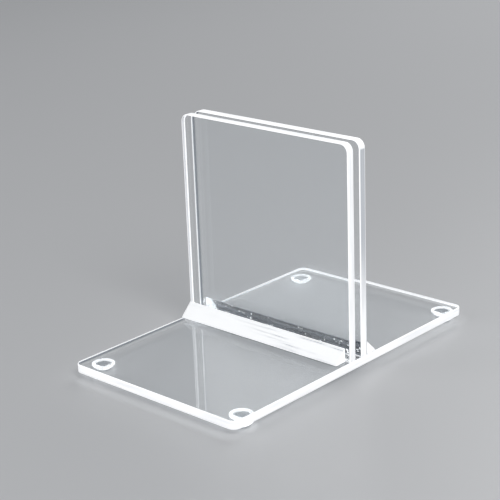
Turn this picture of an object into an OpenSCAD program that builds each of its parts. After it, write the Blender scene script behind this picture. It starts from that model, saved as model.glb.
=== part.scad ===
// Clear acrylic stand: a base plate on four bumper feet, with two upright plates that leave a
// narrow slot between them and a triangular bar glued into the corner on each side of the pair.
// X runs across the uprights, Y along the base and Z up. The origin is under the middle of the
// base, on the surface that the feet stand on. The front is towards -Y. Sizes are in millimetres.

/* [Base plate] */
// Width of the base and of both uprights, whose sides are flush
stand_w = 75; // [60:1:100]
// Length of the base from front to rear
base_l = 124; // [90:1:160]
// Thickness of the base sheet
base_t = 3; // [2:0.5:6]
// Radius of the base's corners
base_corner_r = 3; // [1:0.5:8]

/* [Uprights] */
// Height of each upright above its glue
upright_h = 76; // [40:1:110]
// Thickness of each upright sheet
upright_t = 3; // [2:0.5:6]
// Radius of each upright's top corners
upright_corner_r = 3; // [1:0.5:8]
// Width of the slot between the uprights
slot_gap = 3.2; // [2:0.1:8]

/* [Corner bars] */
// Leg of each bar's right-angled triangular section
bar_leg = 5; // [3:0.5:10]
// How far the front bar stops short of the right side
front_bar_short = 2; // [0:0.5:8]
// How far the rear bar stops short of the left side
rear_bar_short = 1.5; // [0:0.5:8]

/* [Feet] */
// Diameter of each bumper
foot_d = 8; // [5:0.5:12]
// Height of each bumper below its adhesive
foot_h = 2.1; // [1:0.1:3]
// Height of the bumper's straight rim
foot_rim_h = 0.4; // [0.2:0.1:0.8]
// Diameter of the flat that each bumper stands on
foot_flat_d = 2.4; // [1:0.2:3]
// Gaps from the front left foot to the side and the end of the base
front_left_gaps = [2, 4]; // [0:0.5:10]
// Gaps from the front right foot to the side and the end of the base
front_right_gaps = [0.5, 4]; // [0:0.5:10]
// Gaps from the rear left foot to the side and the end of the base
rear_left_gaps = [2, 4]; // [0:0.5:10]
// Gaps from the rear right foot to the side and the end of the base
rear_right_gaps = [1, 2]; // [0:0.5:10]

/* [Glue] */
// Thickness of each glued joint
glue_t = 0.1; // [0.1:0.05:0.3]
// Thickness of each foot's adhesive disc
adhesive_t = 0.1; // [0.1:0.05:0.3]
// How far an adhesive disc stays inside its bumper's rim
adhesive_margin = 0.2; // [0:0.1:0.5]

/* [Hidden] */
CLEAR_SHEET = [0.88, 0.93, 0.96, 0.45];
CLEAR_BAR = [0.94, 0.96, 0.97, 0.7];
CLEAR_BUMPER = [0.82, 0.88, 0.92, 0.6];
CLEAR_GLUE = [0.74, 0.79, 0.84, 0.6];
LEFT = -1;
RIGHT = 1;
FRONT = -1;
REAR = 1;

base_bottom_z = foot_h + adhesive_t;
base_top_z = base_bottom_z + base_t;
joint_top_z = base_top_z + glue_t;
half_w = stand_w / 2;
upright_inner_y = slot_gap / 2;
upright_outer_y = upright_inner_y + upright_t;
bar_back_y = upright_outer_y + glue_t;
bar_tip_y = bar_back_y + bar_leg;
foot_r = foot_d / 2;
foot_flat_r = foot_flat_d / 2;
dome_h = foot_h - foot_rim_h;
dome_centre_drop = (foot_r * foot_r - foot_flat_r * foot_flat_r - dome_h * dome_h) / (2 * dome_h);
dome_r = norm([foot_r, dome_centre_drop]);

$fn = 96;

// A rectangle centred on the origin, with round corners
module rounded_rectangle(width, length, radius) {
    square([width - 2 * radius, length], center = true);
    square([width, length - 2 * radius], center = true);
    for (x = [LEFT, RIGHT], y = [FRONT, REAR])
        translate([x * (width / 2 - radius), y * (length / 2 - radius)]) circle(radius);
}

// An upright's outline, standing on the X axis with round top corners
module upright_outline(width, height, radius) {
    translate([-width / 2, 0]) square([width, height - radius]);
    translate([radius - width / 2, 0]) square([width - 2 * radius, height]);
    for (x = [LEFT, RIGHT])
        translate([x * (width / 2 - radius), height - radius]) circle(radius);
}

// An upright whose inner face is half the slot away from the middle, on the front or rear side
module upright(side) {
    middle_y = side * (upright_inner_y + upright_outer_y) / 2;
    translate([0, middle_y + upright_t / 2, joint_top_z])
        rotate([90, 0, 0])
            linear_extrude(upright_t) upright_outline(stand_w, upright_h, upright_corner_r);
}

// A triangular bar from one x to another, its right angle at the foot of the upright
module corner_bar(side, from_x, to_x) {
    section = [[0, 0], [side * bar_leg, 0], [0, bar_leg]];
    translate([from_x, side * bar_back_y, joint_top_z])
        rotate([90, 0, 90])
            linear_extrude(to_x - from_x) polygon(section);
}

// A thin block of glue between two corners
module glue_film(from, to) {
    translate(from) cube(to - from);
}

// Glue under an upright
module upright_glue(side) {
    near_y = min(side * upright_inner_y, side * upright_outer_y);
    glue_film([-half_w, near_y, base_top_z], [half_w, near_y + upright_t, joint_top_z]);
}

// Glue under a corner bar, up to the upright's own glue
module bar_base_glue(side, from_x, to_x) {
    near_y = min(side * upright_outer_y, side * bar_tip_y);
    far_y = max(side * upright_outer_y, side * bar_tip_y);
    glue_film([from_x, near_y, base_top_z], [to_x, far_y, joint_top_z]);
}

// Glue between a corner bar and its upright
module bar_upright_glue(side, from_x, to_x) {
    near_y = min(side * upright_outer_y, side * bar_back_y);
    far_y = max(side * upright_outer_y, side * bar_back_y);
    glue_film([from_x, near_y, joint_top_z], [to_x, far_y, joint_top_z + bar_leg]);
}

// Half of a bumper's section: a straight rim over a dome that ends in a small flat
module bumper_section() {
    translate([0, dome_h]) square([foot_r, foot_rim_h]);
    intersection() {
        square([foot_r, dome_h]);
        translate([0, dome_h + dome_centre_drop]) circle(dome_r);
    }
}

// Puts its children at a foot's centre
module at_foot(side, end, gaps) {
    translate([side * (half_w - gaps.x - foot_r), end * (base_l / 2 - gaps.y - foot_r), 0]) children();
}

module foot(side, end, gaps) {
    color(CLEAR_BUMPER) at_foot(side, end, gaps) rotate_extrude() bumper_section();
}

module adhesive(side, end, gaps) {
    color(CLEAR_GLUE) at_foot(side, end, gaps)
        translate([0, 0, foot_h]) cylinder(h = adhesive_t, r = foot_r - adhesive_margin);
}

module base_plate() {
    color(CLEAR_SHEET) translate([0, 0, base_bottom_z])
        linear_extrude(base_t) rounded_rectangle(stand_w, base_l, base_corner_r);
}

module front_upright() {
    color(CLEAR_SHEET) upright(FRONT);
}

module rear_upright() {
    color(CLEAR_SHEET) upright(REAR);
}

module front_corner_bar() {
    color(CLEAR_BAR) corner_bar(FRONT, -half_w, half_w - front_bar_short);
}

module rear_corner_bar() {
    color(CLEAR_BAR) corner_bar(REAR, rear_bar_short - half_w, half_w);
}

module glue_front_upright() {
    color(CLEAR_GLUE) upright_glue(FRONT);
}

module glue_rear_upright() {
    color(CLEAR_GLUE) upright_glue(REAR);
}

module glue_front_bar_base() {
    color(CLEAR_GLUE) bar_base_glue(FRONT, -half_w, half_w - front_bar_short);
}

module glue_rear_bar_base() {
    color(CLEAR_GLUE) bar_base_glue(REAR, rear_bar_short - half_w, half_w);
}

module glue_front_bar_upright() {
    color(CLEAR_GLUE) bar_upright_glue(FRONT, -half_w, half_w - front_bar_short);
}

module glue_rear_bar_upright() {
    color(CLEAR_GLUE) bar_upright_glue(REAR, rear_bar_short - half_w, half_w);
}

base_plate();
front_upright();
rear_upright();
front_corner_bar();
rear_corner_bar();
glue_front_upright();
glue_rear_upright();
glue_front_bar_base();
glue_rear_bar_base();
glue_front_bar_upright();
glue_rear_bar_upright();
foot(LEFT, FRONT, front_left_gaps);  // foot_front_left
foot(RIGHT, FRONT, front_right_gaps);  // foot_front_right
foot(LEFT, REAR, rear_left_gaps);  // foot_rear_left
foot(RIGHT, REAR, rear_right_gaps);  // foot_rear_right
adhesive(LEFT, FRONT, front_left_gaps);  // adhesive_front_left
adhesive(RIGHT, FRONT, front_right_gaps);  // adhesive_front_right
adhesive(LEFT, REAR, rear_left_gaps);  // adhesive_rear_left
adhesive(RIGHT, REAR, rear_right_gaps);  // adhesive_rear_right
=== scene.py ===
"""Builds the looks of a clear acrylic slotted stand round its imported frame.

Every piece takes its place and size from the frame. X runs across the uprights, Y along the base
from front to rear and Z up, in metres.
"""

import math

import bmesh
import bpy
from bpy.props import FloatProperty, FloatVectorProperty, IntProperty, PointerProperty
from mathutils import Euler, Matrix, Vector


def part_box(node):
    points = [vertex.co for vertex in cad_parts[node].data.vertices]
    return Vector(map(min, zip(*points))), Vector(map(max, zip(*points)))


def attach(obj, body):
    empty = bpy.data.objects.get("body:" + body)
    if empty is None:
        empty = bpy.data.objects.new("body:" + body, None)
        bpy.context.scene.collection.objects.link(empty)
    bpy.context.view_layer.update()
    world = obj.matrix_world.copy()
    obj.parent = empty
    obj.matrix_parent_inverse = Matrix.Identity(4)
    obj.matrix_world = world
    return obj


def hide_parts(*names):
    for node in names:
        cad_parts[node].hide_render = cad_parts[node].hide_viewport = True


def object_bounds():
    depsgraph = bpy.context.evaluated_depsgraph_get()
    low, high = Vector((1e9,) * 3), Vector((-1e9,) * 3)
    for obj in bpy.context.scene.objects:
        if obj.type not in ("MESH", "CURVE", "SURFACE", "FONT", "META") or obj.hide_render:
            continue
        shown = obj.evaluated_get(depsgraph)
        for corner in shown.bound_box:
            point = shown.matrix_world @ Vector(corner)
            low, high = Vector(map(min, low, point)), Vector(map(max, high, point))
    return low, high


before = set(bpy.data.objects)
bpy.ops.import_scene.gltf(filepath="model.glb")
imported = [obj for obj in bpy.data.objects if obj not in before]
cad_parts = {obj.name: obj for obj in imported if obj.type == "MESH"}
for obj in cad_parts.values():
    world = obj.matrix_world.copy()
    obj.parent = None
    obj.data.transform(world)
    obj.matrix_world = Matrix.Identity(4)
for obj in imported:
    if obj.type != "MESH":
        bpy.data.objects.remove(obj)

bl_info = {
    "name": "Clear Slotted Stand",
    "version": (1, 0, 0),
    "blender": (4, 5, 0),
    "location": "View3D > Sidebar > Slotted Stand",
    "description": "Builds a glued-up clear acrylic stand and its studio",
    "category": "Add Mesh",
}

MM = 0.001
BODY = "root"
FRONT = -1
REAR = 1
ROOM_COLOUR = (0.94, 0.965, 1.0, 1)
CAD_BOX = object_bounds()
ACRYLIC_IOR = 1.49
CUT_RUN = "CutRun"
SPREAD = "spread"
BEAD = "bead"
RIGHT_ANGLE = math.radians(90)
SQUARE_ON = 0.9
SLOPING = 0.3
WELD = 0.001 * MM
BUBBLE_CROWDING = (240.0, 0.42, 0.62)
BEAD_CROWDING = (500.0, 0.38, 0.55)
BEAD_FLATNESS = 0.6
DROP_STEPS = (10, 6)
MOSTLY_SMALL = 3.0
NARROWEST = 0.6
SECOND_SEED = 40.0
DISC_STEPS = 64
FLOOR_DROP = 0.02 * MM
LIFT_FROM = 400 * MM
LIFT_TO = 2500 * MM
LIGHT_BOUNCES = 32
BEAD_LIFT = 0.01 * MM
SEAM_CROWD = 0.4
FULL_CROWD = 1.0
END_REACH = 6


# Settings


def length(name, description, millimetres):
    """A length setting, given in millimetres."""
    return FloatProperty(
        name=name, description=description, default=millimetres * MM, min=0.001 * MM,
        precision=5, subtype="DISTANCE", unit="LENGTH",
    )


def amount(name, description, default, most=1000.0):
    """A plain number setting."""
    return FloatProperty(name=name, description=description, default=default, min=0, max=most)


def angle(name, description, degrees):
    """An angle setting, given in degrees."""
    return FloatProperty(
        name=name, description=description, default=math.radians(degrees), subtype="ANGLE"
    )


def colour(name, description, *default):
    """A colour setting."""
    return FloatVectorProperty(
        name=name, description=description, default=default, min=0, max=1, subtype="COLOR"
    )


def whole(name, description, default, least=0):
    """A whole number setting."""
    return IntProperty(name=name, description=description, default=default, min=least)


class StandSheetSettings(bpy.types.PropertyGroup):
    """Details of the base and the uprights."""

    corner_r: length("Corner Radius", "Radius of the base's and the uprights' top corners", 3)
    square_corner_r: length("Square Corner Radius", "Rounding of the uprights' bottom corners", 0.3)
    arris: length("Arris", "Rounding of the cut edges", 0.28)
    run_step: length("Run Step", "Longest step along an edge", 4)
    arc_steps: whole("Arc Steps", "Steps round each corner", 10, 2)


class StandBarSettings(bpy.types.PropertyGroup):
    """Shape of the two corner bars."""

    arris: length("Arris", "Rounding of the bars' edges", 0.2)


class StandGlueSettings(bpy.types.PropertyGroup):
    """Glue films, the bubbles caught in them and the beads squeezed out of them."""

    clearance: length("Clearance", "Gap round the glue in its own space", 0.012)
    density: amount("Bubble Density", "Most bubbles in a square millimetre", 0.7)
    smallest: length("Smallest Bubble", "Radius of the smallest bubble", 0.09)
    largest: length("Largest Bubble", "Radius of the largest bubble", 0.55)
    bead_density: amount("Bead Density", "Most beads in a square millimetre", 6)
    smallest_bead: length("Smallest Bead", "Radius of the smallest bead", 0.14)
    largest_bead: length("Largest Bead", "Radius of the largest bead", 0.44)
    seam: length("Seam", "Width of the line of beads along the slot", 0.5)
    seed: whole("Seed", "Seed of the bubbles and beads", 7)


class StandFeetSettings(bpy.types.PropertyGroup):
    """Bumper feet and their adhesive."""

    rim_h: length("Rim Height", "Height of a bumper's straight rim", 0.4)
    flat_r: length("Flat Radius", "Radius of a bumper's flat", 1.2)
    # From here out the shoulder is half-clear with a painted milky glow.
    shoulder_from: amount("Shoulder From", "Share of the radius where the shoulder begins", 0.74, 1)
    # Painted glow: from here out the rim is painted milky white and gives off light.
    glow_rim_from: amount("Milky From", "Share of the radius where the milky rim begins", 0.90, 1)
    segments: whole("Segments", "Steps round a bumper", 96, 12)
    dome_rings: whole("Dome Rings", "Steps down a bumper's dome", 16, 4)


class StandFinishSettings(bpy.types.PropertyGroup):
    """Colours of the acrylic, the glue and the feet, and the painted glow and shade of the cut edges,
    bar faces, bubbles and bumper rims.
    """

    clear: colour("Clear Sheet", "Tint of the clear sheet", 0.97, 0.982, 0.99)
    # Painted white: cut edges, bar slopes and ends, bubbles and bumper rims are painted this white as
    # light; the glue film's specks use it too.
    white: colour("Edge White", "Colour of a bright cut edge", 0.96, 0.968, 0.975)
    # Grey of real streaks, marks and glue blotches, and painted shade where cut edges and slopes are
    # greyed.
    grey: colour("Edge Grey", "Colour of a dull cut edge", 0.40, 0.42, 0.45)
    # Painted shade: how a cut edge or a bar's slope looks from inside the sheet.
    slate: colour("Edge Slate", "Colour of an edge seen from inside", 0.085, 0.10, 0.125)
    # Painted shade: the bar slopes seen from inside, the dim part of their painted glow, and the darker
    # patches of the bubbles and beads.
    dark: colour("Bond Dark", "Darkest colour of a bonded joint", 0.018, 0.021, 0.026)
    # Its grey tint is painted shade, darker than the clear sheet's, for the bumper's grey middle.
    bumper: colour("Bumper", "Tint of a bumper's clear dome", 0.62, 0.66, 0.70)
    # Painted glow: emission from the cut edges, bar slopes and ends, bubbles and beads, though they are
    # no lamps.
    glow: amount("Edge Glow", "Light that cut edges give back", 0.54, 2)
    # Painted glow of the bumpers' milky shoulders and rims.
    rim_glow: amount("Rim Glow", "Light that the bumpers' rims give back", 0.84, 2)
    # Painted glow: extra brightness of the painted light at the bars' left inner ends.
    end_gain: amount("End Gain", "Gain of the light at the bars' left inner end", 1.7, 4)
    # Painted shade: how much of the painted glow the bars' slopes lose from outside.
    slope_dimming: amount("Slope Dimming", "Share of it that the bars' slopes lack", 0.45, 1)


class StandStageSettings(bpy.types.PropertyGroup):
    """Floor, lamps and camera."""

    floor: colour("Floor", "Colour of the floor", 0.60, 0.605, 0.615)
    floor_lift: amount("Floor Lift", "Light added to the far floor", 0.075)
    floor_side: length("Floor Side", "Side of the square floor", 12000)
    azimuth: angle("Camera Azimuth", "Turn round the stand from the front", 42.87)
    elevation: angle("Camera Elevation", "Height of the camera as an angle", 19.13)
    roll: angle("Camera Roll", "Tilt of the camera about its own axis", -2.11)
    distance: length("Camera Distance", "Distance from camera to aim", 509.03)
    aim: FloatVectorProperty(
        name="Camera Aim", description="Aim, from the middle of the stand",
        default=(-0.01316, 0.00247, -0.00743), subtype="TRANSLATION",
    )
    lens: amount("Lens", "Focal length in millimetres", 102.74)
    room: amount("Room Light", "Strength of the even light", 0.30)
    key: amount("Key Power", "Watts of the large lamp above the right side", 5.0)
    fill: amount("Fill Power", "Watts of the lamp at the front left", 2.6)
    back: amount("Back Power", "Watts of the lamp behind the stand", 2.6)


# Node helpers


def feed(tree, socket, value):
    """Links a socket's value or sets a plain one."""
    if isinstance(value, bpy.types.NodeSocket):
        tree.links.new(value, socket)
    else:
        socket.default_value = value


def add_node(tree, kind, **values):
    """A new node. Values name its own properties, or its inputs with _ for spaces."""
    node = tree.nodes.new(kind)
    for key, value in values.items():
        if hasattr(node, key):
            setattr(node, key, value)
        else:
            feed(tree, node.inputs[key.replace("_", " ")], value)
    return node


def sum_of(tree, operation, *values):
    """The result of one sum on numbers or sockets."""
    node = add_node(tree, "ShaderNodeMath", operation=operation)
    for socket, value in zip(node.inputs, values):
        feed(tree, socket, value)
    return node.outputs[0]


def times(tree, *values):
    """The product of numbers or sockets."""
    result = values[0]
    for value in values[1:]:
        result = sum_of(tree, "MULTIPLY", result, value)
    return result


def opposite(tree, value):
    """One less a value."""
    return sum_of(tree, "SUBTRACT", 1.0, value)


def between(tree, share, first, second):
    """A colour between two colours or colour sockets."""
    node = add_node(tree, "ShaderNodeMix", data_type="RGBA")
    sockets = {s.identifier: s for s in node.inputs}
    feed(tree, sockets["Factor_Float"], share)
    for name, value in (("A_Color", first), ("B_Color", second)):
        is_socket = isinstance(value, bpy.types.NodeSocket)
        feed(tree, sockets[name], value if is_socket else (*value, 1))
    return next(s for s in node.outputs if s.identifier == "Result_Color")


def rise(tree, value, low, high):
    """0 below low, 1 above high and a smooth rise between."""
    node = add_node(
        tree, "ShaderNodeMapRange", interpolation_type="SMOOTHSTEP", Value=value,
        From_Min=low, From_Max=high,
    )
    return node.outputs["Result"]


def noise(tree, vector, scale=1.0, detail=3.0, roughness=0.5):
    """A noise pattern's value. The scale is a number, or one number for each axis."""
    if isinstance(scale, tuple):
        vector = add_node(tree, "ShaderNodeMapping", Vector=vector, Scale=scale).outputs["Vector"]
        scale = 1.0
    node = add_node(
        tree, "ShaderNodeTexNoise", Vector=vector, Scale=scale, Detail=detail, Roughness=roughness
    )
    return node.outputs["Fac"]


def specks(tree, vector, scale, share):
    """1 inside small round specks of a cell pattern and 0 outside."""
    cells = add_node(tree, "ShaderNodeTexVoronoi", Vector=vector, Scale=scale)
    return sum_of(tree, "LESS_THAN", cells.outputs["Distance"], share)


def own_place(tree):
    """Coordinates in the stand's own space."""
    return add_node(tree, "ShaderNodeTexCoord").outputs["Object"]


def split(tree, vector):
    """The X, Y and Z of a vector."""
    return add_node(tree, "ShaderNodeSeparateXYZ", Vector=vector).outputs[:]


def node_tree(name, kind, inputs, outputs):
    """A tree with inputs, given as name: (kind, value), and outputs, given as name: kind."""
    tree = bpy.data.node_groups.new(name, kind)
    for label, (kind, value) in inputs.items():
        kind = f"NodeSocket{kind}"
        socket = tree.interface.new_socket(name=label, in_out="INPUT", socket_type=kind)
        if value is not None:
            socket.default_value = value
    for label, kind in outputs.items():
        tree.interface.new_socket(name=label, in_out="OUTPUT", socket_type=f"NodeSocket{kind}")
    given = tree.nodes.new("NodeGroupInput").outputs
    return tree, given, tree.nodes.new("NodeGroupOutput")


def shader_group(name, numbers, outputs):
    """A shader group with number inputs, given as name: value, and number outputs."""
    inputs = {label: ("Float", value) for label, value in numbers.items()}
    return node_tree(name, "ShaderNodeTree", inputs, dict.fromkeys(outputs, "Float"))


def use_group(tree, maker, **values):
    """A shared group placed in a material with its own values, made the first time it is used."""
    name, make = maker
    node = tree.nodes.new("ShaderNodeGroup")
    node.node_tree = bpy.data.node_groups.get(name) or make(name)
    for key, value in values.items():
        feed(tree, node.inputs[key.replace("_", " ")], value)
    return node.outputs


def new_material(name, ior=ACRYLIC_IOR):
    """A material with its tree, its Principled shader and its output."""
    material = bpy.data.materials.new(name)
    material.use_nodes = True
    tree = material.node_tree
    tree.nodes.clear()
    shader = add_node(tree, "ShaderNodeBsdfPrincipled", IOR=ior)
    output = add_node(tree, "ShaderNodeOutputMaterial", Surface=shader.outputs[0])
    material.cycles.emission_sampling = "NONE"
    return material, tree, shader, output


def paint(tree, shader, shade, glow=0.0, glow_shade=None):
    """Gives a surface its colour and lets it give back some light, of that colour or another."""
    tree.links.new(shade, shader.inputs["Base Color"])
    if glow:
        tree.links.new(glow_shade or shade, shader.inputs["Emission Color"])
        shader.inputs["Emission Strength"].default_value = glow


def roughen(tree, shader, value, low, high):
    """Lets a pattern vary the roughness from low to high."""
    varied = sum_of(tree, "MULTIPLY_ADD", value, high - low, low)
    tree.links.new(varied, shader.inputs["Roughness"])


def emboss(tree, shader, height, strength, distance):
    """Lets a height pattern raise the surface."""
    bump = add_node(tree, "ShaderNodeBump", Strength=strength, Distance=distance, Height=height)
    tree.links.new(bump.outputs["Normal"], shader.inputs["Normal"])


def let_light_through(tree, shader, output, tint):
    """Lamps and soft light pass the clear surface unbent, so that what is under it is lit."""
    path = tree.nodes.new("ShaderNodeLightPath")
    either = sum_of(tree, "MAXIMUM", path.outputs["Is Shadow Ray"], path.outputs["Is Diffuse Ray"])
    open_way = add_node(tree, "ShaderNodeBsdfTransparent", Color=(*tint, 1))
    mix = add_node(tree, "ShaderNodeMixShader", Fac=either)
    tree.links.new(shader.outputs[0], mix.inputs[1])
    tree.links.new(open_way.outputs[0], mix.inputs[2])
    tree.links.new(mix.outputs[0], output.inputs["Surface"])


# Shared effects


def make_handling_group(name):
    """Fine scratches and a little dust on a polished clear face."""
    tree, given, out = shader_group(
        name, {"Scratch Scale": 900.0, "Dust Scale": 1400.0, "Dust Share": 0.06}, ("Scratches", "Dust")
    )
    place = own_place(tree)
    scratches = 0.0
    for turn in (0.4, 1.3, 2.5):
        lying = add_node(
            tree, "ShaderNodeMapping", Vector=place, Rotation=(turn, turn / 2, turn), Scale=(1, 0.03, 1)
        )
        lines = noise(tree, lying.outputs[0], given["Scratch Scale"], 1.0)
        scratches = sum_of(tree, "MAXIMUM", rise(tree, lines, 0.70, 0.80), scratches)
    tree.links.new(scratches, out.inputs["Scratches"])
    near = specks(tree, place, given["Dust Scale"], given["Dust Share"])
    patches = rise(tree, noise(tree, place, 60.0), 0.45, 0.7)
    tree.links.new(times(tree, near, patches), out.inputs["Dust"])
    return tree


def make_cut_group(name):
    """Streaks along a cut edge and a painted highlight line at each arris, from the edge's own run map.
    """
    tree, given, out = shader_group(
        name,
        {"Run Scale": 0.05, "Across Scale": 5.0, "Line Width": 0.14, "Inner Line Width": 0.45},
        ("Streak", "Fine", "Lines", "Inner Upper Line", "Inner Lower Line"),
    )
    run, level, _ = split(tree, add_node(tree, "ShaderNodeUVMap", uv_map=CUT_RUN).outputs["UV"])
    vector = add_node(
        tree, "ShaderNodeCombineXYZ",
        X=times(tree, run, given["Run Scale"]), Y=times(tree, level, given["Across Scale"]),
    ).outputs[0]
    broad = noise(tree, vector, 1.0, 2.0)
    fine = noise(tree, vector, (3, 5, 1), 4.0, 0.6)
    both = sum_of(tree, "MULTIPLY_ADD", fine, 0.4, times(tree, broad, 0.6))
    tree.links.new(rise(tree, both, 0.42, 0.62), out.inputs["Streak"])
    tree.links.new(fine, out.inputs["Fine"])
    upper = opposite(tree, level)
    depth = sum_of(tree, "MINIMUM", upper, level)
    for across, width, label in (
        (depth, "Line Width", "Lines"),
        (upper, "Inner Line Width", "Inner Upper Line"),
        (level, "Inner Line Width", "Inner Lower Line"),
    ):
        solid = times(tree, given[width], 0.65)
        line = opposite(tree, rise(tree, across, solid, given[width]))
        tree.links.new(line, out.inputs[label])
    return tree


def make_mottle_group(name):
    """Blotches and specks of uneven glue."""
    tree, given, out = shader_group(
        name,
        {"Blotch Scale": 260.0, "Speck Scale": 1500.0, "Speck Share": 0.12, "Run Stretch": 0.25},
        ("Blotch", "Speck"),
    )
    place = own_place(tree)
    x, y, z = split(tree, place)
    run = times(tree, x, given["Run Stretch"])
    vector = add_node(tree, "ShaderNodeCombineXYZ", X=run, Y=y, Z=z).outputs[0]
    blotches = noise(tree, vector, given["Blotch Scale"], 5.0)
    tree.links.new(rise(tree, blotches, 0.42, 0.68), out.inputs["Blotch"])
    near = specks(tree, place, given["Speck Scale"], given["Speck Share"])
    patches = rise(tree, noise(tree, place, 140.0), 0.5, 0.62)
    tree.links.new(times(tree, near, patches), out.inputs["Speck"])
    return tree


HANDLING = ("Handling Marks", make_handling_group)
CUT_STREAKS_AND_LINES = ("Cut Edge Streaks And Highlight Lines", make_cut_group)
MOTTLING = ("Glue Mottling", make_mottle_group)


# Materials


def clear_material(name, tint, dust):
    """Polished clear plastic with fine scratches and dust."""
    material, tree, shader, output = new_material(name)
    marks = use_group(tree, HANDLING, Dust_Share=dust)
    worn = sum_of(tree, "MULTIPLY_ADD", marks["Dust"], 8.0, marks["Scratches"])
    roughen(tree, shader, worn, 0.0, 0.035)
    shader.inputs["Base Color"].default_value = (*tint, 1)
    shader.inputs["Transmission Weight"].default_value = 1
    emboss(tree, shader, marks["Scratches"], 0.03, 0.01 * MM)
    let_light_through(tree, shader, output, [(1 + c) / 2 for c in tint])
    return material


def cut_material(
    name, finish, dull=0.0, dull_top=0.0, inner=0.0, inner_rear=0.0, line=0.3, lower_line=1.0
):
    """A cut edge of clear sheet, painted white with a painted glow that stands in for the light
    running inside the sheet.

    dull greys the outside as painted shade, and dull_top greys it towards the top but for the cap,
    a painted fall-off of the light. The inside is painted: inner is how pale the edge looks through
    the sheet, inner_rear how much paler towards the rear, line how wide its painted highlight lines
    are from inside, and lower_line how bright the lower one is.
    """
    material, tree, shader, _ = new_material(name)
    cut = use_group(tree, CUT_STREAKS_AND_LINES, Inner_Line_Width=line)
    _, y, z = split(tree, own_place(tree))
    top, rear = CAD_BOX[1][2], CAD_BOX[1][1]
    # Painted shade: with dull_top the outside greys towards the top, but for the cap, as if less light
    # reached it there; dull greys it all over.
    cap = rise(tree, z, top - 3.4 * MM, top - 2.6 * MM)
    higher = times(tree, rise(tree, z, 0.15 * top, 0.62 * top), opposite(tree, cap), dull_top)
    dulled = sum_of(tree, "MULTIPLY_ADD", cut["Streak"], 0.35, dull)
    stripes = sum_of(tree, "MULTIPLY_ADD", cut["Streak"], -0.4, 1.0)
    greyer = sum_of(tree, "MULTIPLY_ADD", higher, stripes, dulled)
    # Painted highlight: the outside is whiter along each arris.
    greyer = times(tree, greyer, sum_of(tree, "MULTIPLY_ADD", cut["Lines"], -0.9, 1.0))
    outside = between(tree, greyer, finish.white, finish.grey)
    # Painted look from inside the sheet: slate shade, paler with inner and towards the rear, with
    # painted highlight lines at the arrises.
    paler = sum_of(tree, "MULTIPLY_ADD", rise(tree, y, -0.3 * rear, 0.7 * rear), inner_rear, inner)
    paler = sum_of(tree, "MULTIPLY_ADD", cut["Streak"], 0.1, paler)
    lower = times(tree, cut["Inner Lower Line"], lower_line)
    lines = sum_of(tree, "MAXIMUM", cut["Inner Upper Line"], lower)
    inside = between(tree, sum_of(tree, "MAXIMUM", paler, lines), finish.slate, finish.white)
    facing = tree.nodes.new("ShaderNodeNewGeometry").outputs["Backfacing"]
    # Painted glow: the edge gives off light of its own colour though it is no lamp.
    paint(tree, shader, between(tree, facing, outside, inside), finish.glow)
    roughen(tree, shader, cut["Fine"], 0.3, 0.65)
    emboss(tree, shader, cut["Fine"], 0.25, 0.05 * MM)
    return material


def slope_material(finish):
    """A bar's sloping face: painted white with a painted glow and faint grey streaks along it, and
    painted slate shade from inside, with a painted highlight at the lip and a painted bright left end.
    """
    material, tree, shader, _ = new_material("Bar Slope")
    place = own_place(tree)
    streaks = noise(tree, place, (24, 1000, 1000), 4.0, 0.62)
    broad = noise(tree, place, (45, 240, 240), 2.0)
    x, _, z = split(tree, place)
    lo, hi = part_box("rear_corner_bar")
    # More of the grey streaks show towards +X.
    streakier_rightward = sum_of(tree, "MULTIPLY_ADD", rise(tree, x, lo.x / 2, hi.x / 2), 0.7, 0.15)
    thin = times(tree, rise(tree, streaks, 0.53, 0.63), rise(tree, broad, 0.4, 0.56), streakier_rightward)
    outside = between(tree, thin, finish.white, finish.grey)
    # Painted shade: the slope seen from inside, darker where streaked.
    inside_shade = between(tree, rise(tree, streaks, 0.42, 0.62), finish.dark, finish.slate)
    # Painted highlight along the top lip and a painted bright left inner end, seen from inside.
    lip = rise(tree, z, hi.z - 0.8 * MM, hi.z - 0.3 * MM)
    left_end = opposite(tree, rise(tree, x, lo.x + 2.5 * MM, lo.x + 4 * MM))
    bright = sum_of(tree, "MAXIMUM", times(tree, lip, 0.5), left_end)
    inside = between(tree, bright, inside_shade, finish.white)
    facing = tree.nodes.new("ShaderNodeNewGeometry").outputs["Backfacing"]
    # Painted glow: dimmer outside, and brighter by end_gain at the left inner end.
    dimmer = between(tree, finish.slope_dimming, outside, finish.dark)
    painted_end_glow = [finish.end_gain * c for c in finish.white]
    paint(
        tree, shader, between(tree, facing, outside, inside), finish.glow,
        between(tree, facing, dimmer, between(tree, left_end, inside, painted_end_glow)),
    )
    roughen(tree, shader, streaks, 0.2, 0.5)
    emboss(tree, shader, streaks, 0.3, 0.04 * MM)
    return material


def bond_material(finish):
    """A bar's glued face, clear enough to look into the bar and mottled by the glue."""
    material, tree, shader, output = new_material("Bar Bonded Face")
    mottle = use_group(tree, MOTTLING)
    paint(tree, shader, between(tree, mottle["Blotch"], finish.clear, finish.grey))
    shader.inputs["Transmission Weight"].default_value = 1
    roughen(tree, shader, mottle["Blotch"], 0.02, 0.25)
    emboss(tree, shader, mottle["Blotch"], 0.3, 0.05 * MM)
    let_light_through(tree, shader, output, finish.clear)
    return material


def end_material(finish):
    """A bar's sawn end, painted white with a painted glow, greyed a little by marks."""
    material, tree, shader, _ = new_material("Bar Sawn End")
    marks = noise(tree, own_place(tree), (400, 1600, 500))
    duller = times(tree, rise(tree, marks, 0.48, 0.66), 0.2)
    # Painted glow: the end gives off light though it is no lamp.
    paint(tree, shader, between(tree, duller, finish.white, finish.grey), finish.glow)
    roughen(tree, shader, marks, 0.4, 0.7)
    emboss(tree, shader, marks, 0.4, 0.05 * MM)
    return material


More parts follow.
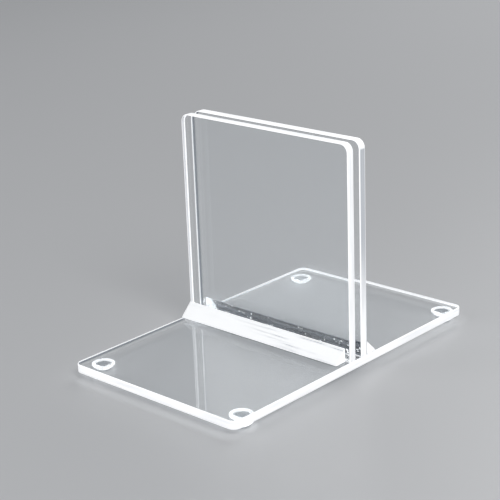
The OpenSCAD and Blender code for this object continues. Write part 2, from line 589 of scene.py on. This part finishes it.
def film_material(name, finish, haze):
    """Cured glue: nearly clear, with a haze where it is uneven."""
    material, tree, shader, _ = new_material(name)
    mottle = use_group(tree, MOTTLING, Blotch_Scale=420.0, Run_Stretch=0.5)
    uneven = sum_of(tree, "MULTIPLY_ADD", mottle["Blotch"], 0.9 * haze, 0.1 * haze)
    tree.links.new(uneven, shader.inputs["Alpha"])
    paint(tree, shader, between(tree, mottle["Speck"], finish.grey, finish.white))
    roughen(tree, shader, mottle["Blotch"], 0.1, 0.45)
    return material


def bubble_material(name, finish, dark_share):
    """Trapped or squeezed-out glue, painted in light and shade patches with a painted glow, standing in
    for the light that it catches.
    """
    material, tree, shader, _ = new_material(name)
    pattern = noise(tree, own_place(tree), 900.0, 2.0)
    patch = rise(tree, pattern, dark_share, dark_share + 0.08)
    # Painted light and shade patches, with a painted glow though the glue is no lamp.
    paint(tree, shader, between(tree, patch, finish.dark, finish.white), 0.6 * finish.glow)
    roughen(tree, shader, pattern, 0.02, 0.3)
    emboss(tree, shader, pattern, 0.4, 0.08 * MM)
    return material


def painted_glow_material(name, finish, clearness):
    """A part of a bumper, painted milky white with a painted glow that stands in for the light that its
    curve gathers.
    """
    material, tree, shader, _ = new_material(name)
    shader.inputs["Transmission Weight"].default_value = clearness
    cloud = noise(tree, own_place(tree), 500.0, 2.0)
    cloudy = times(tree, rise(tree, cloud, 0.35, 0.7), 0.25)
    # Painted glow: milky white that gives off light though it is no lamp.
    paint(tree, shader, between(tree, cloudy, finish.white, finish.grey), finish.rim_glow)
    roughen(tree, shader, cloud, 0.05, 0.2)
    emboss(tree, shader, cloud, 0.1, 0.05 * MM)
    return material


def floor_material(stage):
    """A plain pale floor with a soft sheen, lifted far away to the room's own brightness."""
    material, tree, shader, _ = new_material("Studio Floor")
    shader.inputs["Base Color"].default_value = (*stage.floor, 1)
    shader.inputs["Emission Color"].default_value = ROOM_COLOUR
    away = add_node(tree, "ShaderNodeVectorMath", operation="LENGTH")
    tree.links.new(own_place(tree), away.inputs[0])
    lift = times(tree, rise(tree, away.outputs["Value"], LIFT_FROM, LIFT_TO), stage.floor_lift)
    tree.links.new(lift, shader.inputs["Emission Strength"])
    shader.inputs["Specular IOR Level"].default_value = 0.3
    roughen(tree, shader, noise(tree, own_place(tree), 3.0), 0.34, 0.42)
    return material


# Shapes


def finish_piece(mesh, name, node):
    """Puts a finished mesh in the scene, riding on the stand in place of its CAD node."""
    mesh.name = name
    piece = bpy.data.objects.new(name, mesh)
    bpy.context.scene.collection.objects.link(piece)
    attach(piece, BODY)
    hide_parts(node)


def mesh_from(bm, materials):
    """A mesh with outward faces and its materials."""
    bmesh.ops.recalc_face_normals(bm, faces=bm.faces)
    mesh = bpy.data.meshes.new("Draft")
    bm.to_mesh(mesh)
    bm.free()
    for material in materials:
        mesh.materials.append(material)
    return mesh


def outline(width, height, radii, inset, settings):
    """Points round a rectangle with a radius at each corner, moved inwards by inset."""
    corners = []
    signs = ((-1, -1), (1, -1), (1, 1), (-1, 1))
    for (sign_x, sign_y), start, radius in zip(signs, (180, 270, 0, 90), radii):
        middle = Vector((sign_x * (width / 2 - radius), sign_y * (height / 2 - radius)))
        arc = []
        for step in range(settings.arc_steps + 1):
            turn = math.radians(start + 90 * step / settings.arc_steps)
            arc.append(middle + (radius - inset) * Vector((math.cos(turn), math.sin(turn))))
        corners.append(arc)
    points = []
    steps = max(1, round(max(width, height) / settings.run_step))
    for arc, following in zip(corners, corners[1:] + corners[:1]):
        points += arc
        points += [arc[-1].lerp(following[0], step / steps) for step in range(1, steps)]
    return points


def arris_profile(thickness, arris, steps=4):
    """(inset, height) pairs up a sheet's edge, with both arrises rounded."""
    lower = []
    for step in range(steps + 1):
        turn = RIGHT_ANGLE * step / steps
        lower.append((arris * (1 - math.sin(turn)), arris * (1 - math.cos(turn))))
    return lower + [(inset, thickness - level) for inset, level in reversed(lower)]


def sheet_mesh(width, height, thickness, radii, settings, materials):
    """A flat sheet in the XY plane, from Z 0 up, with clear faces and a cut edge all round."""
    bm = bmesh.new()
    run_map = bm.loops.layers.uv.new(CUT_RUN)
    profile = arris_profile(thickness, settings.arris)
    rings = []
    for inset, level in profile:
        points = outline(width, height, radii, inset, settings)
        rings.append([bm.verts.new((*point, level)) for point in points])
    outer = outline(width, height, radii, 0, settings)
    runs = [0.0]
    for here, after in zip(outer, outer[1:] + outer[:1]):
        runs.append(runs[-1] + (after - here).length / MM)
    count = len(outer)
    for low, high, (_, low_z), (_, high_z) in zip(rings, rings[1:], profile, profile[1:]):
        for i in range(count):
            after = (i + 1) % count
            face = bm.faces.new((low[i], low[after], high[after], high[i]))
            face.material_index = 1
            face.smooth = True
            spots = ((i, low_z), (i + 1, low_z), (i + 1, high_z), (i, high_z))
            for loop, (spot, level) in zip(face.loops, spots):
                loop[run_map].uv = (runs[spot], level / thickness)
    bm.faces.new(list(reversed(rings[0])))
    bm.faces.new(rings[-1])
    return mesh_from(bm, materials)


def standing(lo, hi):
    """Turns a sheet from the XY plane upright, into the box from lo to hi."""
    middle = Vector(((lo.x + hi.x) / 2, hi.y, (lo.z + hi.z) / 2))
    return Matrix.Translation(middle) @ Euler((RIGHT_ANGLE, 0, 0)).to_matrix().to_4x4()


def grown(draft_mesh, tree, values):
    """Runs a Geometry Nodes tree on a mesh and gives its result as a plain mesh."""
    draft = bpy.data.objects.new("Draft", draft_mesh)
    bpy.context.scene.collection.objects.link(draft)
    modifier = draft.modifiers.new("Build", "NODES")
    modifier.node_group = tree
    keys = {s.name: s.identifier for s in tree.interface.items_tree if s.item_type == "SOCKET"}
    for label, value in values.items():
        modifier[keys[label]] = value
    draft.update_tag()
    bpy.context.view_layer.update()
    found = draft.evaluated_get(bpy.context.evaluated_depsgraph_get())
    mesh = bpy.data.meshes.new_from_object(found)
    draft.modifiers.remove(modifier)
    bpy.data.objects.remove(draft)
    return mesh


def geometry_tree(name, inputs):
    """A Geometry Nodes tree with a geometry input and more, given as name: (kind, value)."""
    inputs = {"Geometry": ("Geometry", None), **inputs}
    return node_tree(name, "GeometryNodeTree", inputs, {"Geometry": "Geometry"})


def join(tree, *parts):
    """Several geometries in one."""
    joined = tree.nodes.new("GeometryNodeJoinGeometry")
    for part in parts:
        tree.links.new(part, joined.inputs[0])
    return joined.outputs[0]


def make_bar_tree():
    """Draws a bar's section along its length and gives each kind of face its finish."""
    tree, given, out = geometry_tree(
        "Corner Bar",
        {
            "Length": ("Float", 73 * MM), "Slope": ("Material", None),
            "Bonded": ("Material", None), "End": ("Material", None),
        },
    )
    curve = add_node(tree, "GeometryNodeMeshToCurve", Mesh=given["Geometry"])
    section = add_node(tree, "GeometryNodeFillCurve", Curve=curve.outputs[0], mode="NGONS")
    away = add_node(tree, "ShaderNodeCombineXYZ", Z=given["Length"])
    drawn = add_node(
        tree, "GeometryNodeExtrudeMesh", Mesh=section.outputs[0], Offset=away.outputs[0],
        Individual=False,
    )
    flipped = add_node(tree, "GeometryNodeFlipFaces", Mesh=section.outputs[0])
    closed = add_node(
        tree, "GeometryNodeMergeByDistance", Distance=WELD,
        Geometry=join(tree, drawn.outputs["Mesh"], flipped.outputs[0]),
    )
    x, y, z = split(tree, tree.nodes.new("GeometryNodeInputNormal").outputs["Normal"])
    is_end = sum_of(tree, "GREATER_THAN", sum_of(tree, "ABSOLUTE", z), SQUARE_ON)
    is_slope = sum_of(tree, "GREATER_THAN", sum_of(tree, "ABSOLUTE", times(tree, x, y)), SLOPING)
    shape = add_node(
        tree, "GeometryNodeSetMaterial", Geometry=closed.outputs[0], Material=given["Bonded"]
    ).outputs[0]
    for chosen, label in ((is_end, "End"), (is_slope, "Slope")):
        shape = add_node(
            tree, "GeometryNodeSetMaterial", Geometry=shape, Selection=chosen, Material=given[label]
        ).outputs[0]
    real = add_node(tree, "GeometryNodeRealizeInstances", Geometry=shape)
    tree.links.new(real.outputs[0], out.inputs[0])
    return tree


def drop_shape(tree, domed):
    """A round drop, or a domed one with a flat side that lies on a face."""
    around, down = DROP_STEPS
    ball = add_node(tree, "GeometryNodeMeshUVSphere", Segments=around, Rings=down, Radius=1.0)
    shape = ball.outputs[0]
    if domed:
        x, y, z = split(tree, tree.nodes.new("GeometryNodeInputPosition").outputs[0])
        above = sum_of(tree, "MAXIMUM", z, 0.0)
        spot = add_node(tree, "ShaderNodeCombineXYZ", X=x, Y=y, Z=above).outputs[0]
        shape = add_node(tree, "GeometryNodeSetPosition", Geometry=shape, Position=spot).outputs[0]
    return add_node(tree, "GeometryNodeSetShadeSmooth", Geometry=shape).outputs[0]


def scatter(tree, given, marked, crowding, sizes, lift, flatness, domed):
    """Drops of glue on the marked faces, crowded by a noise pattern and flattened on the face."""
    density_name, smallest_name, largest_name, material_name = sizes
    noise_scale, low, high = crowding
    place = tree.nodes.new("GeometryNodeInputPosition").outputs[0]
    thick = rise(tree, noise(tree, place, noise_scale, 2.0), low, high)
    points = add_node(
        tree, "GeometryNodeDistributePointsOnFaces", Mesh=given["Geometry"], Seed=given["Seed"],
        Selection=sum_of(tree, "GREATER_THAN", marked, 0.0),
        Density=times(tree, thick, marked, given[density_name]),
    ).outputs
    outward = add_node(tree, "ShaderNodeVectorMath", operation="SCALE", Scale=lift)
    tree.links.new(points["Normal"], outward.inputs[0])
    placed = add_node(
        tree, "GeometryNodeSetPosition", Geometry=points["Points"], Offset=outward.outputs[0]
    )
    chance = add_node(tree, "FunctionNodeRandomValue", Seed=given["Seed"]).outputs[1]
    span = sum_of(tree, "SUBTRACT", given[largest_name], given[smallest_name])
    radius = sum_of(
        tree, "MULTIPLY_ADD", sum_of(tree, "POWER", chance, MOSTLY_SMALL), span, given[smallest_name]
    )
    other_seed = sum_of(tree, "ADD", given["Seed"], SECOND_SEED)
    other = add_node(tree, "FunctionNodeRandomValue", Seed=other_seed).outputs[1]
    share = sum_of(tree, "MULTIPLY_ADD", other, 1 - NARROWEST, NARROWEST)
    narrow = times(tree, radius, share)
    height = flatness if isinstance(flatness, bpy.types.NodeSocket) else times(tree, radius, flatness)
    size = add_node(tree, "ShaderNodeCombineXYZ", X=radius, Y=narrow, Z=height)
    drops = add_node(
        tree, "GeometryNodeInstanceOnPoints", Points=placed.outputs[0], Instance=drop_shape(tree, domed),
        Rotation=points["Rotation"], Scale=size.outputs[0],
    )
    return add_node(
        tree, "GeometryNodeSetMaterial", Geometry=drops.outputs[0], Material=given[material_name]
    ).outputs[0]


def make_glue_tree():
    """Adds bubbles inside a film and beads on its marked patches, and drops the patches."""
    tree, given, out = geometry_tree(
        "Cured Glue",
        {
            **dict.fromkeys(("Density", "Bead Density"), ("Float", 1 / MM**2)),
            **dict.fromkeys(("Smallest", "Smallest Bead", "Depth"), ("Float", 0.05 * MM)),
            **dict.fromkeys(("Largest", "Largest Bead"), ("Float", 0.4 * MM)),
            "Seed": ("Int", 0),
            **dict.fromkeys(("Film", "Bubble", "Squeezed"), ("Material", None)),
        },
    )
    marks = [
        add_node(tree, "GeometryNodeInputNamedAttribute", data_type="FLOAT", Name=name).outputs[0]
        for name in (SPREAD, BEAD)
    ]
    bubbles = scatter(
        tree, given, marks[0], BUBBLE_CROWDING, ("Density", "Smallest", "Largest", "Bubble"),
        times(tree, given["Depth"], -1.0), given["Depth"], False,
    )
    beads = scatter(
        tree, given, marks[1], BEAD_CROWDING,
        ("Bead Density", "Smallest Bead", "Largest Bead", "Squeezed"), BEAD_LIFT, BEAD_FLATNESS, True,
    )
    film = add_node(
        tree, "GeometryNodeDeleteGeometry", domain="FACE", Geometry=given["Geometry"],
        Selection=sum_of(tree, "GREATER_THAN", marks[1], 0.0),
    )
    film = add_node(
        tree, "GeometryNodeSetMaterial", Geometry=film.outputs[0], Material=given["Film"]
    )
    parts = join(tree, bubbles, beads, film.outputs[0])
    real = add_node(tree, "GeometryNodeRealizeInstances", Geometry=parts)
    tree.links.new(real.outputs[0], out.inputs[0])
    return tree


def glue_mesh(lo, hi, settings, patches):
    """A glue film's thin block, marked for bubbles on one broad face, and the bead patches.

    The mark stops a bubble's radius short of the film's sides. A patch is a corner, its two
    sides and how crowded its beads are.
    """
    low = lo + Vector((settings.clearance,) * 3)
    high = hi - Vector((settings.clearance,) * 3)
    size = high - low
    thin = min(range(3), key=lambda axis: size[axis])
    bm = bmesh.new()
    spread = bm.faces.layers.float.new(SPREAD)
    bead = bm.faces.layers.float.new(BEAD)
    bmesh.ops.create_cube(bm, size=1)
    for vert in bm.verts:
        vert.co = Vector([m + c * s for m, c, s in zip((low + high) / 2, vert.co, size)])
    bmesh.ops.recalc_face_normals(bm, faces=bm.faces)
    broad = next(face for face in bm.faces if face.normal[thin] > SQUARE_ON)
    bmesh.ops.inset_region(bm, faces=[broad], thickness=settings.largest)
    for face in bm.faces:
        face[spread] = 1.0 if face == broad else 0.0
    for corner, side_a, side_b, crowd in patches:
        spots = (corner, corner + side_a, corner + side_a + side_b, corner + side_b)
        face = bm.faces.new([bm.verts.new(spot) for spot in spots])
        face[bead] = crowd
    mesh = bpy.data.meshes.new("Film")
    bm.to_mesh(mesh)
    bm.free()
    return mesh, size[thin]


def bevelled(mesh, width):
    """Rounds every edge of a closed mesh, keeping the faces' finishes."""
    bm = bmesh.new()
    bm.from_mesh(mesh)
    bmesh.ops.recalc_face_normals(bm, faces=bm.faces)
    for face in bm.faces:
        face.smooth = False
    rounded = bmesh.ops.bevel(
        bm, geom=bm.edges[:], offset=width, segments=3, profile=0.5, affect="EDGES", material=-1
    )
    for face in rounded["faces"]:
        face.smooth = True
    bm.to_mesh(mesh)
    bm.free()
    return mesh


def dome_profile(radius, height, settings):
    """(radius, height) pairs from near a bumper's middle, up its dome, to the top of its rim."""
    dome_h = height - settings.rim_h
    drop = (radius**2 - settings.flat_r**2 - dome_h**2) / (2 * dome_h)
    dome_r = math.hypot(radius, drop)
    points = [(settings.flat_r / 3, 0.0), (2 * settings.flat_r / 3, 0.0)]
    for step in range(settings.dome_rings + 1):
        level = dome_h * (step / settings.dome_rings) ** 1.5
        points.append((math.sqrt(dome_r**2 - (dome_h + drop - level) ** 2), level))
    return points + [(radius, height)]


def bumper_mesh(lo, hi, settings, materials):
    """A domed bumper, spun round its middle: clear dome, half-clear shoulder and milky rim painted white
    with a painted glow, clear top.
    """
    radius = (hi.x - lo.x) / 2
    middle = (lo + hi) / 2
    profile = dome_profile(radius, hi.z - lo.z, settings)
    bm = bmesh.new()
    rings = []
    for span, level in profile:
        ring = []
        for step in range(settings.segments):
            turn = math.tau * step / settings.segments
            spot = (middle.x + span * math.cos(turn), middle.y + span * math.sin(turn), lo.z + level)
            ring.append(bm.verts.new(spot))
        rings.append(ring)
    for low, high, (span, _) in zip(rings, rings[1:], profile[1:]):
        for step in range(settings.segments):
            after = (step + 1) % settings.segments
            face = bm.faces.new((low[step], low[after], high[after], high[step]))
            face.smooth = True
            starts = (settings.shoulder_from * radius, settings.glow_rim_from * radius)
            face.material_index = sum(span > start for start in starts)
    bm.faces.new(list(reversed(rings[0])))
    bm.faces.new(rings[-1]).material_index = 3
    return mesh_from(bm, materials)


# Operators


def nodes_named(start):
    """The frame's nodes whose names begin with start, in order."""
    return [name for name in sorted(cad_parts) if name.startswith(start)]


class STAND_OT_base_sheet(bpy.types.Operator):
    """Makes the base sheet with its cut edge."""

    bl_idname = "stand.base_sheet"
    bl_label = "Base Sheet"

    def execute(self, context):
        settings, finish = context.scene.stand_sheets, context.scene.stand_finish
        lo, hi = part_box("base_plate")
        size = hi - lo
        clear = clear_material("Clear Base", finish.clear, 0.06)
        # Painted look from inside: the base's edge is painted paler towards the rear, with wide painted
        # highlight lines.
        cut = cut_material("Base Cut Edge", finish, inner_rear=0.9, line=0.65, lower_line=0.1)
        mesh = sheet_mesh(size.x, size.y, size.z, [settings.corner_r] * 4, settings, (clear, cut))
        mesh.transform(Matrix.Translation(((lo.x + hi.x) / 2, (lo.y + hi.y) / 2, lo.z)))
        finish_piece(mesh, "clear_base_sheet", "base_plate")
        return {"FINISHED"}


class STAND_OT_uprights(bpy.types.Operator):
    """Makes the two upright sheets."""

    bl_idname = "stand.uprights"
    bl_label = "Uprights"

    def execute(self, context):
        settings, finish = context.scene.stand_sheets, context.scene.stand_finish
        clear = clear_material("Clear Upright", finish.clear, 0.045)
        cuts = {
            # The front edge is painted duller outside and paler inside; the rear edge is painted greyer
            # towards the top as painted shade, with wide painted highlight lines inside.
            "front_upright": cut_material("Front Upright Cut Edge", finish, dull=0.1, inner=0.55),
            "rear_upright": cut_material(
                "Rear Upright Cut Edge", finish, dull_top=0.95, line=0.6, lower_line=0.1
            ),
        }
        for node, cut in cuts.items():
            lo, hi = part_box(node)
            size = hi - lo
            radii = [settings.square_corner_r] * 2 + [settings.corner_r] * 2
            mesh = sheet_mesh(size.x, size.z, size.y, radii, settings, (clear, cut))
            mesh.transform(standing(lo, hi))
            finish_piece(mesh, f"clear_{node}", node)
        return {"FINISHED"}


class STAND_OT_corner_bars(bpy.types.Operator):
    """Makes the two triangular corner bars."""

    bl_idname = "stand.corner_bars"
    bl_label = "Corner Bars"

    def execute(self, context):
        settings, finish = context.scene.stand_bars, context.scene.stand_finish
        tree = make_bar_tree()
        finishes = {
            "Slope": slope_material(finish),
            "Bonded": bond_material(finish),
            "End": end_material(finish),
        }
        turn = Euler((RIGHT_ANGLE, 0, RIGHT_ANGLE)).to_matrix().to_4x4()
        for node, side in (("front_corner_bar", FRONT), ("rear_corner_bar", REAR)):
            lo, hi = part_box(node)
            back = hi.y if side == FRONT else lo.y
            leg = hi.z - lo.z
            section = bpy.data.meshes.new("Bar Section")
            corners = [(0, 0, 0), (side * leg, 0, 0), (0, leg, 0)]
            section.from_pydata(corners, [(0, 1), (1, 2), (2, 0)], [])
            mesh = grown(section, tree, {"Length": hi.x - lo.x, **finishes})
            mesh = bevelled(mesh, settings.arris)
            mesh.transform(Matrix.Translation((lo.x, back, lo.z)) @ turn)
            finish_piece(mesh, f"clear_{node}", node)
        return {"FINISHED"}


def bead_patches(node, settings):
    """Where beads have squeezed out of a film: beside a bar's short end and along the slot.

    Each patch faces away from the sheet that it lies on, and stays a bead's radius clear of the
    other pieces and of the middle of the slot.
    """
    keep = settings.largest_bead
    side = "front" if "front" in node else "rear"
    lo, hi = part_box(f"{side}_upright")
    patches = []
    if node.endswith("bar_upright"):
        bar_lo, bar_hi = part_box(f"{side}_corner_bar")
        face_y = lo.y if side == "front" else hi.y
        gap_from = (bar_hi.x if side == "front" else lo.x) + keep
        gap_to = (hi.x if side == "front" else bar_lo.x) - keep
        corner = Vector((gap_from, face_y, bar_lo.z + keep))
        along = Vector((gap_to - gap_from, 0, 0))
        patches.append((corner, along, Vector((0, 0, bar_hi.z - bar_lo.z - keep)), FULL_CROWD))
    elif node.endswith("_upright"):
        film_lo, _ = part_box(node)
        slot_y, into = (hi.y, 1) if side == "front" else (lo.y, -1)
        seam = Vector((0, into * settings.seam, 0))
        half_slot = Vector((0, into * (abs(slot_y) - 2 * keep), 0))
        start = Vector((lo.x + keep, slot_y + into * keep, film_lo.z))
        along = Vector((hi.x - lo.x - 2 * keep, 0, 0))
        reach = Vector((END_REACH * keep, 0, 0))
        patches.append((start, along, seam, SEAM_CROWD))
        patches.append((start + along - reach, reach, half_slot, FULL_CROWD))
    if side == "rear":
        patches = [(corner, up, along, crowd) for corner, along, up, crowd in patches]
    return patches


class STAND_OT_glue(bpy.types.Operator):
    """Makes the six glue films, the bubbles caught in them and the beads squeezed out."""

    bl_idname = "stand.glue"
    bl_label = "Glue"

    def execute(self, context):
        settings, finish = context.scene.stand_glue, context.scene.stand_finish
        tree = make_glue_tree()
        values = {
            "Density": settings.density / MM**2,
            "Smallest": settings.smallest,
            "Largest": settings.largest,
            "Bead Density": settings.bead_density / MM**2,
            "Smallest Bead": settings.smallest_bead,
            "Largest Bead": settings.largest_bead,
            "Film": film_material("Glue Film", finish, 0.16),
            # Bubbles and squeezed-out beads are painted in light and shade patches with a painted glow.
            "Bubble": bubble_material("Glue Bubble", finish, 0.36),
            "Squeezed": bubble_material("Squeezed Glue", finish, 0.42),
        }
        for order, node in enumerate(nodes_named("glue_")):
            lo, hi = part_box(node)
            patches = bead_patches(node, settings)
            mesh, thickness = glue_mesh(lo, hi, settings, patches)
            mesh = grown(
                mesh, tree, {**values, "Depth": thickness / 2, "Seed": settings.seed + order}
            )
            finish_piece(mesh, f"cured_{node}", node)
        return {"FINISHED"}


class STAND_OT_feet(bpy.types.Operator):
    """Makes the four bumper feet."""

    bl_idname = "stand.feet"
    bl_label = "Feet"

    def execute(self, context):
        settings, finish = context.scene.stand_feet, context.scene.stand_finish
        materials = (
            clear_material("Bumper Dome", finish.bumper, 0.02),
            # The shoulder and rim are painted milky white with a painted glow; the dome's grey tint is
            # painted shade.
            painted_glow_material("Bumper Shoulder", finish, 0.6),
            painted_glow_material("Bumper Rim", finish, 0.0),
            clear_material("Bumper Top", finish.clear, 0.03),
        )
        for node in nodes_named("foot_"):
            mesh = bumper_mesh(*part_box(node), settings, materials)
            finish_piece(mesh, f"bumper_{node}", node)
        return {"FINISHED"}


class STAND_OT_adhesive(bpy.types.Operator):
    """Makes the adhesive disc above each foot."""

    bl_idname = "stand.adhesive"
    bl_label = "Adhesive Discs"

    def execute(self, context):
        clearance, finish = context.scene.stand_glue.clearance, context.scene.stand_finish
        film = film_material("Foot Adhesive", finish, 0.12)
        for node in nodes_named("adhesive_"):
            lo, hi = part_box(node)
            radius = (hi.x - lo.x) / 2
            bm = bmesh.new()
            bmesh.ops.create_cone(
                bm, cap_ends=True, segments=DISC_STEPS, radius1=radius, radius2=radius,
                depth=hi.z - lo.z - 2 * clearance, matrix=Matrix.Translation((lo + hi) / 2),
            )
            finish_piece(mesh_from(bm, (film,)), f"disc_{node}", node)
        return {"FINISHED"}


class STAND_OT_stage(bpy.types.Operator):
    """Sets the floor, the lamps, the room light and the camera."""

    bl_idname = "stand.stage"
    bl_label = "Stage"

    def execute(self, context):
        scene, stage = context.scene, context.scene.stand_stage
        middle = (Vector(CAD_BOX[0]) + Vector(CAD_BOX[1])) / 2
        self.add_floor(scene, stage)
        self.add_light(scene, stage, middle)
        self.add_camera(scene, stage, middle)
        scene.view_settings.view_transform = "Standard"
        scene.cycles.max_bounces = LIGHT_BOUNCES
        scene.cycles.transmission_bounces = LIGHT_BOUNCES
        scene.cycles.transparent_max_bounces = LIGHT_BOUNCES
        scene.cycles.caustics_refractive = False
        scene.cycles.caustics_reflective = False
        return {"FINISHED"}

    def add_floor(self, scene, stage):
        """Adds the floor just under the feet."""
        bm = bmesh.new()
        bmesh.ops.create_grid(bm, x_segments=8, y_segments=8, size=stage.floor_side / 2)
        floor = bpy.data.objects.new("Floor", mesh_from(bm, (floor_material(stage),)))
        floor.location.z = CAD_BOX[0][2] - FLOOR_DROP
        scene.collection.objects.link(floor)

    def add_light(self, scene, stage, middle):
        """Adds the even light of the room and three large soft lamps."""
        world = bpy.data.worlds.new("Studio")
        world.use_nodes = True
        background = world.node_tree.nodes["Background"]
        background.inputs["Color"].default_value = ROOM_COLOUR
        background.inputs["Strength"].default_value = stage.room
        scene.world = world
        lamps = (
            ("Key Lamp", (0.75, -0.35, 0.80), 0.60, stage.key),
            ("Fill Lamp", (-0.60, -0.85, 0.55), 0.70, stage.fill),
            ("Back Lamp", (-0.25, 0.90, 0.60), 0.60, stage.back),
        )
        for name, place, size, power in lamps:
            data = bpy.data.lights.new(name, "AREA")
            data.shape = "DISK"
            data.size = size
            data.energy = power
            lamp = bpy.data.objects.new(name, data)
            lamp.location = middle + Vector(place)
            lamp.rotation_euler = (-Vector(place)).to_track_quat("-Z", "Y").to_euler()
            scene.collection.objects.link(lamp)

    def add_camera(self, scene, stage, middle):
        """Adds the camera, turned about its aim."""
        flat = math.cos(stage.elevation)
        towards = Vector((
            math.sin(stage.azimuth) * flat, -math.cos(stage.azimuth) * flat, math.sin(stage.elevation)
        ))
        level = Vector((math.cos(stage.azimuth), math.sin(stage.azimuth), 0))
        upward = towards.cross(level)
        right = math.cos(stage.roll) * level + math.sin(stage.roll) * upward
        up = math.cos(stage.roll) * upward - math.sin(stage.roll) * level
        data = bpy.data.cameras.new("Camera")
        data.lens = stage.lens
        camera = bpy.data.objects.new("Camera", data)
        turn = Matrix((right, up, towards)).transposed().to_4x4()
        spot = middle + Vector(stage.aim) + towards * stage.distance
        camera.matrix_world = Matrix.Translation(spot) @ turn
        scene.collection.objects.link(camera)
        scene.camera = camera


class STAND_PT_panel(bpy.types.Panel):
    """Lists the stand's pieces and its stage."""

    bl_idname = "STAND_PT_panel"
    bl_label = "Slotted Stand"
    bl_space_type = "VIEW_3D"
    bl_region_type = "UI"
    bl_category = "Slotted Stand"

    def draw(self, context):
        for operator in OPERATORS:
            self.layout.operator(operator.bl_idname)


SETTINGS = {
    "stand_sheets": StandSheetSettings,
    "stand_bars": StandBarSettings,
    "stand_glue": StandGlueSettings,
    "stand_feet": StandFeetSettings,
    "stand_finish": StandFinishSettings,
    "stand_stage": StandStageSettings,
}
OPERATORS = (
    STAND_OT_base_sheet,
    STAND_OT_uprights,
    STAND_OT_corner_bars,
    STAND_OT_glue,
    STAND_OT_feet,
    STAND_OT_adhesive,
    STAND_OT_stage,
)


def register():
    """Adds the settings, operators and panel."""
    for kind in (*SETTINGS.values(), *OPERATORS, STAND_PT_panel):
        bpy.utils.register_class(kind)
    for name, kind in SETTINGS.items():
        setattr(bpy.types.Scene, name, PointerProperty(type=kind))


def unregister():
    """Takes the settings, operators and panel away."""
    for name in SETTINGS:
        delattr(bpy.types.Scene, name)
    for kind in reversed((*SETTINGS.values(), *OPERATORS, STAND_PT_panel)):
        bpy.utils.unregister_class(kind)


def main():
    """Builds every piece and the stage."""
    register()
    bpy.ops.stand.base_sheet()
    bpy.ops.stand.uprights()
    bpy.ops.stand.corner_bars()
    bpy.ops.stand.glue()
    bpy.ops.stand.feet()
    bpy.ops.stand.adhesive()
    bpy.ops.stand.stage()


if __name__ == "__main__":
    main()
